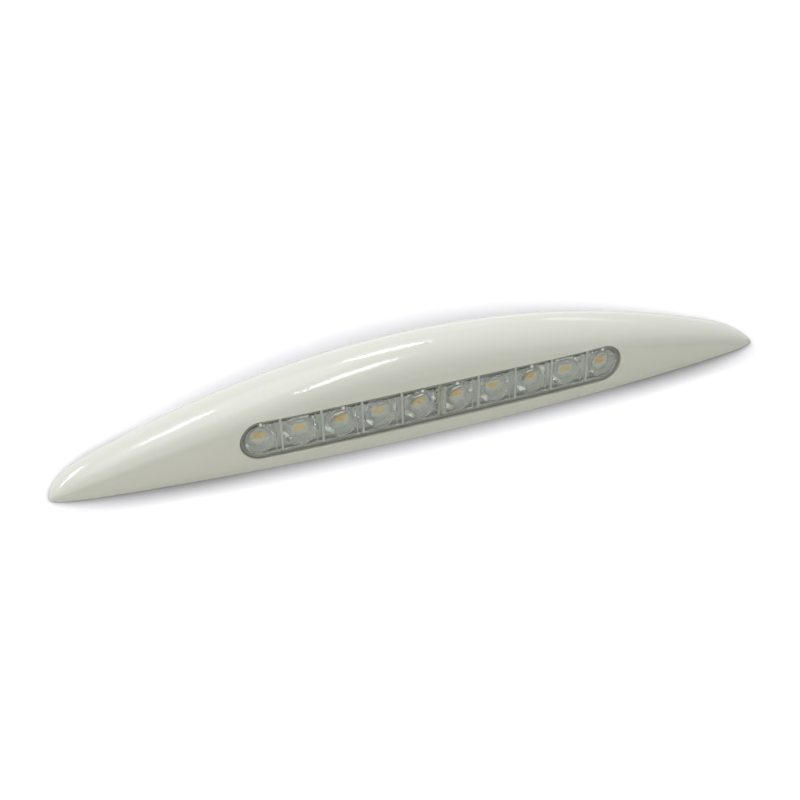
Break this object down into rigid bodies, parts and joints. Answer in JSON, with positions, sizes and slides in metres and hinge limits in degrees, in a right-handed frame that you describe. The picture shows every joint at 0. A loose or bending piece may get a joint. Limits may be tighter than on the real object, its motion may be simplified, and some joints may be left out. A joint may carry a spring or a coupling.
{
  "type": "awning light",
  "caption": "Slim crescent awning light with a glossy white cover, a row of lamp cells behind a clear lens strip, and a screw-on base plate with a cable inlet.",
  "frame": {"origin": "on the wall face, at the middle of the lamp's outline", "axes": "+X along the lamp, +Z out of the wall, -Y towards the lit facet"},
  "size_m": [0.264, 0.038, 0.0305],
  "materials": {
    "white_cover": "gloss moulded",
    "clear_lens": "clear moulded",
    "dark_seal": "satin",
    "white_board": "solder mask",
    "screw_steel": "zinc plated",
    "black_moulding": "moulded epoxy",
    "tan_ceramic": "fired",
    "grey_plate": "fine texture",
    "closed_foam": "cellular",
    "black_rubber": "moulded",
    "led_package": "moulded",
    "led_phosphor": "gel"
  },
  "bodies": {
    "root": {"cover": "white_cover", "lens": "clear_lens", "lens_seal": "dark_seal", "circuit_board": "white_board", "board_screws": "screw_steel", "driver_chip": "black_moulding", "choke_coil": "black_moulding", "diode": "black_moulding", "capacitor": "tan_ceramic", "resistors": "black_moulding", "base_plate": "grey_plate", "wall_foam": "closed_foam", "cable_grommet": "black_rubber", "led_body_01": "led_package", "led_phosphor_01": "led_phosphor", "led_body_02": "led_package", "led_phosphor_02": "led_phosphor", "led_body_03": "led_package", "led_phosphor_03": "led_phosphor", "led_body_04": "led_package", "led_phosphor_04": "led_phosphor", "led_body_05": "led_package", "led_phosphor_05": "led_phosphor", "led_body_06": "led_package", "led_phosphor_06": "led_phosphor", "led_body_07": "led_package", "led_phosphor_07": "led_phosphor", "led_body_08": "led_package", "led_phosphor_08": "led_phosphor", "led_body_09": "led_package", "led_phosphor_09": "led_phosphor", "led_body_10": "led_package", "led_phosphor_10": "led_phosphor"}
  },
  "joints": []
}
